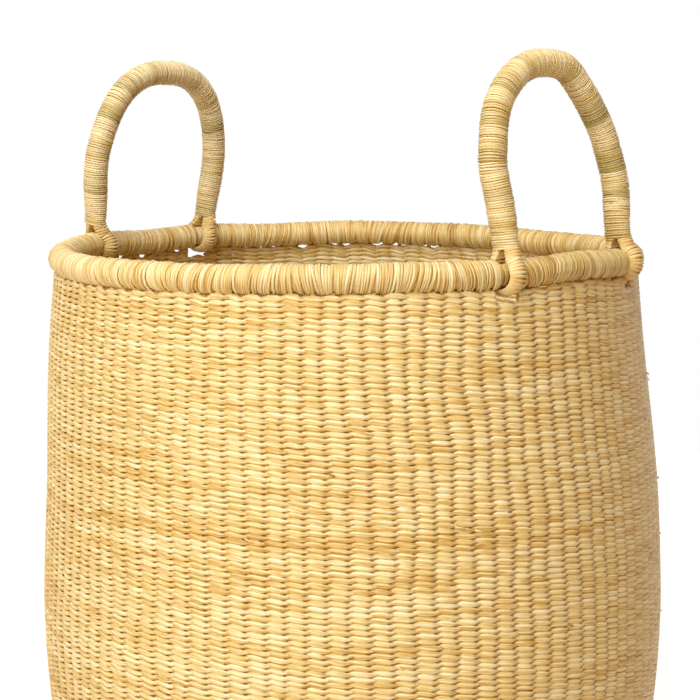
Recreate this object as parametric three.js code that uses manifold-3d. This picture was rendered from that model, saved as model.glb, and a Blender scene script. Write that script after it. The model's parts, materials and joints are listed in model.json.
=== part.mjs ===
import * as THREE from 'three';
import { mergeVertices } from 'three/addons/utils/BufferGeometryUtils.js';
import Module from 'manifold-3d';

// A round, barrel shaped laundry basket woven from grass straw, with a wrapped rim roll and two
// wrapped arch handles. Millimetres, +Z up. The origin is on the floor under the middle of the
// base, +X points to the right handle and -Y to the front.

// Woven body
const RIM_RADIUS = 200; // axis of the basket to the middle of the rim roll
const RIM_HEIGHT = 440; // floor to the middle of the rim roll
const MOUTH_STAND_OUT = 6.5; // outside of the wall's top edge, out from the middle of the rim roll
const BELLY_BULGE = 16.5; // outside of the belly, out from the outside of the wall's top edge
const BELLY_HEIGHT = 195; // floor to the widest place
const TAPER_POWER = 1.4; // how soon the wall leaves the belly on its way to the mouth
const BASE_RADIUS = 172; // where the flat base turns up into the wall
const WALL = 7; // thickness of the weave: a stake with a strand of straw on each side
const STAKE = 3.4; // width of an upright stake
const STAKE_COUNT = 104;
const STAKE_SHOWING = 2.5; // bare stake between the last row of weave and the rim roll
const STAKES_PER_RIB = 2; // stakes that one rib of the weave stands for
const RIB_RELIEF = 1.6; // how far the weave sinks between two ribs, on each of its faces

// Rim roll
const RIM_ROLL_RADIUS = 9.6; // over its wrapping
const STRAW_THICKNESS = 1.6; // one layer of wrapping straw
const RIM_WRAP_COUNT = 12; // lengths of straw that follow each other round the rim

// Handles
const HANDLE_SHIFT = 2.5; // degrees that each handle sits towards the front, off the diameter
const HANDLE_LEAN = -8; // degrees from upright, in over the mouth where negative
const FOOT_HALF_SPACING = 61; // middle of the handle to each foot, along the hinge line
const ARCH_HALF_WIDTH = 68; // middle of the handle to the middle of a stem at its widest
const ARCH_HEIGHT = 130; // hinge line to the middle of the arch at its top
const ARCH_POWER = 2.5; // 2 gives an ellipse, more gives squarer shoulders
const HANDLE_RADIUS = 9.3; // over its wrapping
const HANDLE_WRAP_COUNT = 13; // straws that follow each other along one handle
const STRAW_WIDTH = 3; // wrapping straw as it lies on the handle
const TURN_GAP = 0.8; // between two turns of straw at the middle of the handle
const LEG_WIDTH = 10.4; // a leg, along the hinge line
const LEG_THICKNESS = 6.4; // a leg beside the rim roll, out from the roll
const LEG_END_THICKNESS = 4.4; // a leg where it is drawn in under the rim roll
const LEG_SHOULDER = 40; // degrees from the top of a loop to where its leg comes beside the rim roll
const FORK_RISE = 3; // fork of the handle, up from the top of its rim loop

// Fit and fineness
const CLEARANCE = 0.3; // between pieces that lie against each other
const SWING_CLEARANCE = 0.8; // between a rim loop and what it turns on or in
const ROLL_SIDES = 12; // facets round the rim roll
const LEG_SIDES = 8;
const LEG_STEPS = 12;
const TURN_STEPS = 8; // facets in one turn of straw
const CORE_STEPS = 36;
const HEEL_STEPS = 5;
const TAPER_STEPS = 3;
const RIM_WRAP_STEPS = 4;

// Sizes that follow from these
const mouthRadius = RIM_RADIUS + MOUTH_STAND_OUT;
const bellyRadius = mouthRadius + BELLY_BULGE;
const wallTop = RIM_HEIGHT - RIM_ROLL_RADIUS - STAKE_SHOWING;
const ribSides = (2 * STAKE_COUNT) / STAKES_PER_RIB; // facets round the basket, two for each rib
const rimBoreRadius = RIM_ROLL_RADIUS - STRAW_THICKNESS;
const rimCoreRadius = rimBoreRadius * Math.cos(Math.PI / ROLL_SIDES) - CLEARANCE;
const footAngle = Math.asin(FOOT_HALF_SPACING / RIM_RADIUS);
const hingeRadius = RIM_RADIUS * Math.cos(footAngle);
const legStandOff = Math.hypot(LEG_THICKNESS / 2, (LEG_WIDTH / 2) * Math.tan(footAngle));
const loopRadius = RIM_ROLL_RADIUS / Math.cos(footAngle) + SWING_CLEARANCE + legStandOff;
const loopBore = loopRadius - LEG_THICKNESS / 2;
const forkHeight = loopRadius + FORK_RISE;
const wrapBedRadius = HANDLE_RADIUS - STRAW_THICKNESS;
const handleCoreRadius = wrapBedRadius * Math.cos(Math.PI / TURN_STEPS) - CLEARANCE;

const wasm = await Module();
wasm.setup();

// Colours of dried grass
const WEAVE_STRAW = 0xd8b36a;
const RIM_STRAW = 0xcfa65c;
const HANDLE_STRAW = 0xdcbc7c;
const GREEN_STRAW = 0xb3a468;
const BUNDLE_GRASS = 0xb98f4c;

function grass(colour) {
  return new THREE.MeshStandardMaterial({ color: colour, roughness: 0.7, metalness: 0 });
}

function addPiece(group, name, geometry, colour) {
  const piece = new THREE.Mesh(geometry, grass(colour));
  piece.name = name;
  group.add(piece);
}

function numbered(name, index) {
  return `${name}_${String(index + 1).padStart(2, '0')}`;
}

// Boolean joins and cuts need solids whose corners are shared
function solidOf(geometry) {
  const bare = geometry.clone();
  bare.deleteAttribute('normal');
  bare.deleteAttribute('uv');
  const merged = mergeVertices(bare);
  return new wasm.Manifold(
    new wasm.Mesh({
      numProp: 3,
      vertProperties: new Float32Array(merged.attributes.position.array),
      triVerts: new Uint32Array(merged.index.array),
    }),
  );
}

function geometryOf(solid) {
  const mesh = solid.getMesh();
  const geometry = new THREE.BufferGeometry();
  geometry.setAttribute('position', new THREE.BufferAttribute(mesh.vertProperties, 3));
  geometry.setIndex(new THREE.BufferAttribute(mesh.triVerts, 1));
  return geometry;
}

// A closed skin over rings that all have the same number of corners, with a flat cap at each end
function skinOver(rings) {
  const corners = rings[0].length;
  const points = rings.flat();
  const faces = [];
  for (let ring = 0; ring + 1 < rings.length; ring += 1) {
    for (let corner = 0; corner < corners; corner += 1) {
      const next = (corner + 1) % corners;
      const a = ring * corners + corner;
      const b = ring * corners + next;
      faces.push(a, b, b + corners, a, b + corners, a + corners);
    }
  }
  const last = (rings.length - 1) * corners;
  for (let corner = 1; corner + 1 < corners; corner += 1) {
    faces.push(0, corner + 1, corner, last, last + corner, last + corner + 1);
  }
  const geometry = new THREE.BufferGeometry();
  geometry.setFromPoints(points);
  geometry.setIndex(faces);
  return geometry;
}

function circleShape(radius, sides) {
  const points = [];
  for (let side = 0; side < sides; side += 1) {
    const angle = (2 * Math.PI * side) / sides;
    points.push(new THREE.Vector2(radius * Math.cos(angle), radius * Math.sin(angle)));
  }
  return new THREE.Shape(points);
}

// The weave bulges at its stakes, so its outline goes from ridge to valley and back at each rib
function ribbedLathe(ridge, valley) {
  const lathe = new THREE.LatheGeometry(ridge, ribSides);
  const corners = lathe.attributes.position;
  for (let side = 1; side < ribSides; side += 2) {
    const angle = (2 * Math.PI * side) / ribSides;
    valley.forEach(({ x, y }, index) => {
      corners.setXYZ(side * valley.length + index, x * Math.sin(angle), y, x * Math.cos(angle));
    });
  }
  return lathe.rotateX(Math.PI / 2);
}

// Woven wall: a quarter ellipse from the base to the belly, then a slow taper to the mouth.
// sunk is how far each face lies below the ridges.
function wallProfile(sunk) {
  const outside = [];
  const inside = [];
  const swell = bellyRadius - BASE_RADIUS;
  for (let step = 0; step <= HEEL_STEPS; step += 1) {
    const angle = (Math.PI / 2) * (step / HEEL_STEPS);
    const point = new THREE.Vector2(
      BASE_RADIUS + swell * Math.sin(angle),
      BELLY_HEIGHT * (1 - Math.cos(angle)),
    );
    const outward = new THREE.Vector2(Math.sin(angle) / swell, -Math.cos(angle) / BELLY_HEIGHT).normalize();
    outside.push(point.clone().addScaledVector(outward, -sunk));
    inside.push(point.clone().addScaledVector(outward, sunk - WALL));
  }
  const taperHeight = wallTop - BELLY_HEIGHT;
  for (let step = 1; step <= TAPER_STEPS; step += 1) {
    const share = step / TAPER_STEPS;
    const radius = bellyRadius - BELLY_BULGE * share ** TAPER_POWER;
    const height = BELLY_HEIGHT + taperHeight * share;
    outside.push(new THREE.Vector2(radius - sunk, height));
    inside.push(new THREE.Vector2(radius - WALL + sunk, height));
  }
  return [...outside, ...inside.reverse(), outside[0]];
}

function footPlaces() {
  const places = [];
  for (const { turn } of handles) {
    for (const end of [-1, 1]) {
      places.push({ turn, end });
    }
  }
  return places;
}

// Stakes stand up out of the last row of weave and carry the rim roll between them
function wallGeometry() {
  const shell = ribbedLathe(wallProfile(0), wallProfile(RIB_RELIEF));
  const root = WALL / 2;
  const stakeTop = RIM_HEIGHT - RIM_ROLL_RADIUS - CLEARANCE;
  const length = stakeTop - wallTop + root;
  let wall = solidOf(shell);
  for (let stake = 0; stake < STAKE_COUNT; stake += 1) {
    const upright = new THREE.BoxGeometry(STAKE, STAKE, length);
    upright.translate(mouthRadius - WALL / 2, 0, stakeTop - length / 2);
    upright.rotateZ((2 * Math.PI * stake) / STAKE_COUNT);
    wall = wall.add(solidOf(upright));
  }
  // A hole in the weave at each foot, where the rim loop goes through and turns
  const holeRadius = loopBore + LEG_THICKNESS + SWING_CLEARANCE;
  const holeWidth = LEG_WIDTH + 2 * SWING_CLEARANCE;
  for (const { turn, end } of footPlaces()) {
    const hole = new THREE.CylinderGeometry(holeRadius, holeRadius, holeWidth, ROLL_SIDES * 2);
    hole.translate(hingeRadius, end * FOOT_HALF_SPACING, RIM_HEIGHT);
    hole.rotateZ(turn);
    wall = wall.subtract(solidOf(hole));
  }
  return geometryOf(wall);
}

// The underside of the base is flat from standing, and the ribs of its upper face run together at the middle
function baseProfile(sunk) {
  const edge = BASE_RADIUS - CLEARANCE;
  return [
    new THREE.Vector2(0, 0),
    new THREE.Vector2(edge, 0),
    new THREE.Vector2(edge, WALL - sunk),
    new THREE.Vector2(0, WALL),
  ];
}

function baseGeometry() {
  return ribbedLathe(baseProfile(0), baseProfile(RIB_RELIEF));
}

// Middle of the rim roll between two angles
class RimArc extends THREE.Curve {
  constructor(from, to) {
    super();
    this.from = from;
    this.to = to;
  }

  getPoint(share) {
    const angle = this.from + (this.to - this.from) * share;
    return new THREE.Vector3(RIM_RADIUS * Math.cos(angle), RIM_RADIUS * Math.sin(angle), RIM_HEIGHT);
  }
}

function rimCoreGeometry() {
  const sections = RIM_WRAP_COUNT * RIM_WRAP_STEPS;
  const core = new THREE.TorusGeometry(RIM_RADIUS, rimCoreRadius, ROLL_SIDES, sections);
  return core.translate(0, 0, RIM_HEIGHT);
}

function rimWrapGeometry(index) {
  const span = (2 * Math.PI) / RIM_WRAP_COUNT;
  const margin = CLEARANCE / 2 / RIM_RADIUS;
  const arc = new RimArc(span * index + margin, span * (index + 1) - margin);
  const section = circleShape(RIM_ROLL_RADIUS, ROLL_SIDES);
  section.holes.push(circleShape(rimBoreRadius, ROLL_SIDES));
  return new THREE.ExtrudeGeometry(section, { steps: RIM_WRAP_STEPS, extrudePath: arc });
}

// Middle of a handle from fork to fork, in the plane of the handle with the hinge line at zero
class HandleArch extends THREE.Curve {
  getPoint(share) {
    const angle = Math.PI * share;
    const across = Math.sign(Math.cos(angle)) * Math.abs(Math.cos(angle)) ** (2 / ARCH_POWER);
    const rise = Math.sin(angle) ** (2 / ARCH_POWER);
    const widening = THREE.MathUtils.smoothstep(rise, 0, 1 / 2);
    const halfWidth = THREE.MathUtils.lerp(FOOT_HALF_SPACING, ARCH_HALF_WIDTH, widening);
    return new THREE.Vector3(0, -halfWidth * across, THREE.MathUtils.lerp(forkHeight, ARCH_HEIGHT, rise));
  }
}

// One straw wound round the core as an unbroken tube with a flat bed and a ridge on top.
// Its ends lie on the inside of the arch, straight for one width of the straw.
function woundStraw(arch, from, to) {
  const archLength = arch.getLength();
  const turns = Math.max(1, Math.floor((to - from) / (STRAW_WIDTH + TURN_GAP)));
  const stepAngle = (2 * Math.PI) / TURN_STEPS;
  const endAngle = (2 * (STRAW_WIDTH + CLEARANCE)) / wrapBedRadius;
  const openSteps = Math.ceil(endAngle / stepAngle);
  const steps = TURN_STEPS * turns - openSteps;
  const sideways = new THREE.Vector3(1, 0, 0);
  const rings = [];
  for (let step = 0; step <= steps; step += 1) {
    const angle = stepAngle * (step + openSteps / 2);
    const place = (from + ((to - from) * angle) / (2 * Math.PI * turns)) / archLength;
    const middle = arch.getPointAt(place);
    const along = arch.getTangentAt(place);
    const inward = new THREE.Vector3().crossVectors(along, sideways);
    const outward = new THREE.Vector3()
      .addScaledVector(inward, Math.cos(angle))
      .addScaledVector(sideways, Math.sin(angle));
    const bed = middle.clone().addScaledVector(outward, wrapBedRadius);
    rings.push([
      middle.clone().addScaledVector(outward, HANDLE_RADIUS),
      bed.clone().addScaledVector(along, STRAW_WIDTH / 2),
      bed.clone().addScaledVector(along, -STRAW_WIDTH / 2),
    ]);
  }
  rings.unshift(straightEnd(rings[0], rings[1]));
  rings.push(straightEnd(rings.at(-1), rings.at(-2)));
  return rings;
}

function straightEnd(ring, neighbour) {
  const reach = ring[0].clone().sub(neighbour[0]).setLength(STRAW_WIDTH);
  return ring.map((corner) => corner.clone().add(reach));
}

// Least distance between corners of a wound straw that lie half a turn or more apart along it
function leastGap(rings) {
  let least = Infinity;
  for (let ring = 0; ring < rings.length; ring += 1) {
    for (let other = ring + TURN_STEPS / 2; other < rings.length; other += 1) {
      for (const corner of rings[ring]) {
        for (const facing of rings[other]) {
          least = Math.min(least, corner.distanceTo(facing));
        }
      }
    }
  }
  return least;
}

// Course of a leg: out beside the rim roll, then round and in under it, to meet the other leg
function legStations() {
  const down = new THREE.Vector3(0, 0, -1);
  const topRadius = HANDLE_RADIUS / 2;
  const top = new THREE.Vector3(topRadius + CLEARANCE / 2, 0, forkHeight - CLEARANCE);
  const quarter = Math.PI / 2;
  const shoulder = THREE.MathUtils.degToRad(LEG_SHOULDER);
  const meeting = CLEARANCE / 2 / (loopBore + LEG_END_THICKNESS / 2);
  const round = [];
  for (let step = 0; step <= LEG_STEPS; step += 1) {
    const angle = THREE.MathUtils.lerp(shoulder, Math.PI - meeting, step / LEG_STEPS);
    const thinning = THREE.MathUtils.smoothstep(angle, quarter, Math.PI);
    const halfThickness = THREE.MathUtils.lerp(LEG_THICKNESS, LEG_END_THICKNESS, thinning) / 2;
    const reach = loopBore + halfThickness;
    const middle = new THREE.Vector3(reach * Math.sin(angle), 0, reach * Math.cos(angle));
    const along = new THREE.Vector3(Math.cos(angle), 0, -Math.sin(angle));
    round.push({ middle, along, halfThickness });
  }
  return [{ middle: top, along: down, halfThickness: topRadius }, ...round];
}

// One leg of the fork at a foot: side is 1 for the outer leg and -1 for the inner leg
function legGeometry(side, foot) {
  const rings = legStations().map(({ middle, along, halfThickness }) => {
    const outward = new THREE.Vector3(-along.z, 0, along.x);
    const ring = [];
    for (let corner = 0; corner < LEG_SIDES; corner += 1) {
      const angle = (2 * Math.PI * corner) / LEG_SIDES;
      const point = middle.clone().addScaledVector(outward, halfThickness * Math.cos(angle));
      ring.push(new THREE.Vector3(side * point.x, foot + (LEG_WIDTH / 2) * Math.sin(angle), point.z));
    }
    return side > 0 ? ring.reverse() : ring;
  });
  return skinOver(rings);
}

const handles = [
  { side: 'right', turn: THREE.MathUtils.degToRad(-HANDLE_SHIFT) },
  { side: 'left', turn: THREE.MathUtils.degToRad(180 + HANDLE_SHIFT) },
];

function handleGroup({ side, turn }) {
  const hinge = new THREE.Group();
  hinge.rotation.z = turn;
  hinge.position.set(hingeRadius * Math.cos(turn), hingeRadius * Math.sin(turn), RIM_HEIGHT);
  const leaning = new THREE.Group();
  leaning.rotation.y = THREE.MathUtils.degToRad(HANDLE_LEAN);
  hinge.add(leaning);

  const arch = new HandleArch();
  const coreSection = circleShape(handleCoreRadius, LEG_SIDES);
  const core = new THREE.ExtrudeGeometry(coreSection, { steps: CORE_STEPS, extrudePath: arch });
  addPiece(leaning, `${side}_handle_core`, core, BUNDLE_GRASS);

  const wrapStart = STRAW_WIDTH / 2 + CLEARANCE;
  const wrapLength = (arch.getLength() - 2 * wrapStart) / HANDLE_WRAP_COUNT;
  let least = Infinity;
  for (let index = 0; index < HANDLE_WRAP_COUNT; index += 1) {
    const from = wrapStart + index * wrapLength;
    const rings = woundStraw(arch, from, from + wrapLength);
    least = Math.min(least, leastGap(rings));
    const colour = index % 2 ? GREEN_STRAW : HANDLE_STRAW;
    addPiece(leaning, numbered(`${side}_handle_wrap`, index), skinOver(rings), colour);
  }
  console.log(`${side} handle: least gap between turns of straw ${least.toFixed(2)} mm`);

  for (const end of [-1, 1]) {
    const foot = end * Math.cos(turn) < 0 ? 'front' : 'back';
    addPiece(leaning, `${side}_${foot}_outer_leg`, legGeometry(1, end * FOOT_HALF_SPACING), RIM_STRAW);
    addPiece(leaning, `${side}_${foot}_inner_leg`, legGeometry(-1, end * FOOT_HALF_SPACING), RIM_STRAW);
  }
  return hinge;
}

const basket = new THREE.Group();
addPiece(basket, 'base_weave', baseGeometry(), WEAVE_STRAW);
addPiece(basket, 'wall_weave', wallGeometry(), WEAVE_STRAW);
addPiece(basket, 'rim_core', rimCoreGeometry(), BUNDLE_GRASS);
for (let index = 0; index < RIM_WRAP_COUNT; index += 1) {
  addPiece(basket, numbered('rim_wrap', index), rimWrapGeometry(index), RIM_STRAW);
}
for (const handle of handles) {
  basket.add(handleGroup(handle));
}

export default basket;
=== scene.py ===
import json
import math

import bpy
import numpy as np
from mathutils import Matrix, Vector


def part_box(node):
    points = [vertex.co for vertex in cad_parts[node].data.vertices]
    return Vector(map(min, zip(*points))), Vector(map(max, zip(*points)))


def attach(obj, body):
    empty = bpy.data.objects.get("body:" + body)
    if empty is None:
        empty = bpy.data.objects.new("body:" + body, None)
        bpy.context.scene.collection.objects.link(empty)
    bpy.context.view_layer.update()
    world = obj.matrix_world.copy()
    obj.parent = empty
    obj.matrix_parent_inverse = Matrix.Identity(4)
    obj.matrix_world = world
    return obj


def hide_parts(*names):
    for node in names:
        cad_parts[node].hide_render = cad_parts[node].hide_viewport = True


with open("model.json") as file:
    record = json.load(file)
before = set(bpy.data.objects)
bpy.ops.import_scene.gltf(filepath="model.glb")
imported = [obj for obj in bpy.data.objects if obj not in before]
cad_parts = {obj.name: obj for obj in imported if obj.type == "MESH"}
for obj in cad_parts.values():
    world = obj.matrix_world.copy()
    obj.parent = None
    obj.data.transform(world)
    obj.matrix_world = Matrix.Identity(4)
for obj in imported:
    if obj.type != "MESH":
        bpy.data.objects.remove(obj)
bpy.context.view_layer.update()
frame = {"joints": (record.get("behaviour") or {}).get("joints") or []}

# Woven base
# A flat round of twined grass straw that the basket starts from. Two strands go round together,
# one over and one under each radial stake, and twist past each other between the stakes. The
# rounds are woven outwards from the middle, with stakes added as they grow.
ROW_PITCH = 0.0036  # from one row of twining to the next
WEAVE_DEPTH = 0.007  # a stake with a strand on each side
STRAND_WIDTH = 0.0047  # of a flat strand where it lies over a stake, so that the rows close up
STRAND_DEPTH = 0.0028
STRAND_SWING = 0.0013  # middle of a strand out from the middle of the stake that it passes
STRAND_CLIMB = 0.0005  # up and down from the middle of the row, where the two strands cross
STRAND_OVERLAP = 0.0007  # how far the strand that goes in lies in front of the one that comes out
STRAND_FLATNESS = 0.3  # below 1 it lies longer on the stake and dives more steeply between two
STITCH_PLACES = np.radians((-70, -35, 35, 70))  # along a strand: it passes a stake at 0, crosses at 90
CROSSING_WIDTH = 0.34  # of a strand where it crosses the other, as a share of its full width
WIDENING = 0.85  # how fast it widens from there
FULLNESS_UNEVEN = 0.12
FULLNESS_LIFTS = 0.03  # how much further out a full stitch swings
CUT_MARGIN = 0.2  # along a strand, kept clear beside its cut end
STITCH_UNEVEN = 0.00025
CROSSING_UNEVEN = 0.0008  # how far the crossings stray sideways
ROW_UNEVEN = 0.00022
WALL_STAKES = 104
BASE_ROUNDS = ((0.003, 0.044, 26), (0.044, 0.088, 52), (0.088, 0.172, WALL_STAKES))  # from, to, stakes
BASE_SIDES = 4  # corners round a strand
BELLY_HEIGHT = 0.195
BELLY_BULGE = 0.0165  # belly out from the top edge of the wall
TAPER_POWER = 1.4
ROWS_PACKED = 0.0006  # how far the top row is pushed up beside the rim roll
STAKE_WANDER = 0.0009  # how far the stakes stray sideways
STAKES_SETTLE = 0.05  # below the rim, where they come to stand as its wrapping needs them
STRAW_LENGTH = 0.16  # along a strand, before the weaver lays in the next straw
STRAW_RIPENESS = (0.28, 0.38, 0.49)
RIPENESS_SHARES = (0.22, 0.64, 0.14)  # how many of the straws are as ripe as that
RIPENESS_SPREAD = 0.045
STITCH_TINT = 0.025
PROFILE_STEPS = 160
BELLY_LEAN = 0.0046  # the hand-woven belly stands this far out of the middle
BELLY_LEANS_TO = math.radians(40)
LEAN_RISES = 0.11  # height at which the lean has come in from the base up
LEAN_FADES = (0.26, 0.40)  # heights from and to which it goes again
LIFT_RISES = (0.33, 0.42)  # heights from and to which the weave comes to follow the rim
# The rim is level only at the handles' feet: degrees round the basket, and how far it stands up there
RIM_LIFTS = (
    (-160, 0), (-140, -0.0018), (-108, -0.0028), (-80, -0.0020), (-55, -0.0004), (-35, 0.0002), (-20, 0),
    (-3, 0.0020), (15, 0), (40, -0.0012), (76, -0.0033), (104, -0.0008), (130, 0.0002), (150, -0.0016),
    (165, 0), (182, -0.0022), (200, 0),
)
base_radius = BASE_ROUNDS[-1][1]
belly_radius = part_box("wall_weave")[1].x
rim_low, rim_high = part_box("rim_wrap_01")
roll_radius = (rim_high.z - rim_low.z) / 2
rim_height = (rim_high.z + rim_low.z) / 2
rim_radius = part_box("rim_core")[1].x - (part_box("rim_core")[1].z - rim_height)
wall_top = rim_height - roll_radius + ROWS_PACKED


def smoothed(value):
    """From 0 to 1 with no corner at either end."""
    value = np.clip(value, 0, 1)
    return value * value * (3 - 2 * value)


def between(value, limits):
    """From 0 at the first limit to 1 at the second, with no corner at either."""
    return smoothed((value - limits[0]) / (limits[1] - limits[0]))


def rising_line():
    """Radius and height of the middle of the weave from the middle of the base up to the top row."""
    turn = np.linspace(0, np.pi / 2, PROFILE_STEPS)
    swell = belly_radius - base_radius
    lean = np.stack([np.sin(turn) / swell, -np.cos(turn) / BELLY_HEIGHT], 1)
    lean /= np.linalg.norm(lean, axis=1)[:, None]
    heel = np.stack([base_radius + swell * np.sin(turn), BELLY_HEIGHT * (1 - np.cos(turn))], 1)
    share = np.linspace(0, 1, PROFILE_STEPS)[1:]
    taper_radius = belly_radius - BELLY_BULGE * share**TAPER_POWER - WEAVE_DEPTH / 2
    taper = np.stack([taper_radius, BELLY_HEIGHT + (wall_top - BELLY_HEIGHT) * share], 1)
    return np.concatenate([[[0, WEAVE_DEPTH / 2]], heel - lean * WEAVE_DEPTH / 2, taper])


def rim_lift(angle):
    """How far the rim stands up at an angle, and the weave just below it."""
    degrees = (np.degrees(angle) + 160) % 360 - 160
    lift = 0 * degrees
    for (start, low), (end, high) in zip(RIM_LIFTS, RIM_LIFTS[1:]):
        share = (degrees - start) / (end - start)
        lift = np.where((share >= 0) & (share < 1), low + (high - low) * smoothed(share), lift)
    return lift


weave_line = rising_line()
weave_steps = np.linalg.norm(np.diff(weave_line, axis=0), axis=1)
weave_places = np.concatenate([[0], np.cumsum(weave_steps)])
weave_slope = np.gradient(weave_line, weave_places, axis=0)
weave_slope /= np.linalg.norm(weave_slope, axis=1)[:, None]
top_place = weave_places[-1]


def in_weave(angle, place, offset):
    """Points and outward directions in the weave: place runs up its middle, offset stands out of it."""
    radius, height = (np.interp(place, weave_places, weave_line[:, i]) for i in (0, 1))
    slope_out, slope_up = (np.interp(place, weave_places, weave_slope[:, i]) for i in (0, 1))
    radius = radius + slope_up * offset
    lean = BELLY_LEAN * smoothed(height / LEAN_RISES) * (1 - between(height, LEAN_FADES))
    x = radius * np.cos(angle) + lean * math.cos(BELLY_LEANS_TO)
    y = radius * np.sin(angle) + lean * math.sin(BELLY_LEANS_TO)
    lifted = rim_lift(angle) * between(height, LIFT_RISES)
    points = np.stack([x, y, height + lifted - slope_out * offset], 1)
    outward = np.stack([slope_up * np.cos(angle), slope_up * np.sin(angle), -slope_out + 0 * angle], 1)
    return points, outward


def unevenness(seed, waves, most_round, shortest):
    """A smooth unevenness of about 1, over the angle round the basket and the place up its wall."""
    draw = np.random.default_rng(seed)
    around = draw.integers(1, most_round + 1, waves)
    rising = draw.normal(0, 2 * np.pi / shortest, waves)
    start = draw.uniform(0, 2 * np.pi, waves)

    def at(angle, place):
        total = sum(np.sin(a * angle + r * place + s) for a, r, s in zip(around, rising, start))
        return total / math.sqrt(waves / 2)

    return at


row_drift = unevenness(seed=11, waves=9, most_round=14, shortest=0.09)
stake_drift = unevenness(seed=12, waves=9, most_round=18, shortest=0.12)


def stake_shift(angle, place):
    """Angle by which the stakes stray there. Under the rim they stand where its wrapping needs them."""
    free = np.clip((top_place - place) / STAKES_SETTLE, 0, 1)
    return stake_drift(angle, place) * free * STAKE_WANDER / rim_radius


def straw(points, outward, half_width, half_depth, sides, ripe, green, height, reach, closed=False):
    """One straw swept along its course as a flat tube. height is how far its middle lies over its bed,
    and reach how far its face does: they tell how deep in the weave each corner is, and so how
    dark the painted shade on it is."""
    along = np.roll(points, -1, 0) - np.roll(points, 1, 0) if closed else np.gradient(points, axis=0)
    along /= np.linalg.norm(along, axis=1)[:, None]
    across = np.cross(outward, along)
    across /= np.linalg.norm(across, axis=1)[:, None]
    facing = np.cross(along, across)
    turn = 2 * np.pi * np.arange(sides) / sides - np.pi / 2
    half_width, half_depth, ripe, green, height = (
        np.broadcast_to(v, len(points))[:, None] for v in (half_width, half_depth, ripe, green, height)
    )
    rise = half_depth * np.cos(turn)
    corners = points[:, None] + facing[:, None] * rise[..., None]
    corners = corners + across[:, None] * (half_width * np.sin(turn))[..., None]
    # each corner's depth in the weave, by which the material paints shade on it
    depth = 1 - np.clip(np.abs(height + rise) / reach, 0, 1)
    tone_and_shade = np.stack([ripe + 0 * depth, green + 0 * depth, depth], 2)
    ends = np.concatenate([points, points[:1]]) if closed else points
    length = np.concatenate([[0], np.cumsum(np.linalg.norm(np.diff(ends, axis=0), axis=1))])
    girth = 4 * math.hypot(half_width.mean(), half_depth.mean())
    return corners, tone_and_shade, length, girth, closed


def lay_straws(name, straws, material, body, nodes):
    """Joins straws into one piece. Its map lie runs in metres along and round one straw after the
    other, and its map OFBake lays all the straws side by side in strips."""
    faces, lie, strips = [], [], []
    first, laid = 0, 0.0
    total = sum(s[2][-1] for s in straws)
    strip_count = max(1, round(math.sqrt(total / straws[0][3])))
    strip_length = total / strip_count
    for corners, _, length, girth, closed in straws:
        count, sides = corners.shape[:2]
        ring, side = np.meshgrid(np.arange(len(length) - 1), np.arange(sides), indexing="ij")
        ring, side = ring.ravel(), side.ravel()
        after, beside = (ring + 1) % count, (side + 1) % sides
        here, ahead = first + ring * sides, first + after * sides
        faces += np.stack([here + side, ahead + side, ahead + beside, here + beside], 1).tolist()
        u = np.stack([length[ring], length[ring + 1], length[ring + 1], length[ring]], 1)
        v = np.stack([side, side, side + 1, side + 1], 1) / sides
        lie.append(np.stack([laid + u, v * girth], 2).reshape(-1, 2))
        strip = np.minimum((laid + u.mean(1)) // strip_length, strip_count - 1)[:, None]
        strip_u = np.clip((laid + u) / strip_length - strip, 0, 1)
        strips.append(np.stack([strip_u, (strip + 0.1 + 0.8 * v) / strip_count], 2).reshape(-1, 2))
        if not closed:
            last = first + (count - 1) * sides
            faces += [list(range(first, first + sides)), list(range(last + sides - 1, last - 1, -1))]
            for end in (0, -1):
                lie.append(np.tile([laid + length[end], 0], (sides, 1)))
                strips.append(np.tile(strips[-1][end], (sides, 1)))
        first += count * sides
        laid += length[-1]
    mesh = bpy.data.meshes.new(name)
    mesh.from_pydata(np.concatenate([s[0].reshape(-1, 3) for s in straws]), [], faces)
    for label, uv in (("lie", lie), ("OFBake", strips)):
        mesh.uv_layers.new(name=label).data.foreach_set("uv", np.concatenate(uv).astype(np.float32).ravel())
    # each point's ripeness, green and depth in the weave: the material paints shade by the depth
    tone_and_shade = np.concatenate([s[1].reshape(-1, 3) for s in straws]).astype(np.float32)
    mesh.attributes.new("grass", "FLOAT_VECTOR", "POINT").data.foreach_set("vector", tone_and_shade.ravel())
    mesh.shade_smooth()
    mesh.materials.append(material)
    piece = bpy.data.objects.new(name, mesh)
    bpy.context.scene.collection.objects.link(piece)
    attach(piece, body)
    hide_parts(*nodes)
    return piece


def level(angle, place):
    """The sag of a row that nothing pushes down."""
    return 0 * angle


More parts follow.
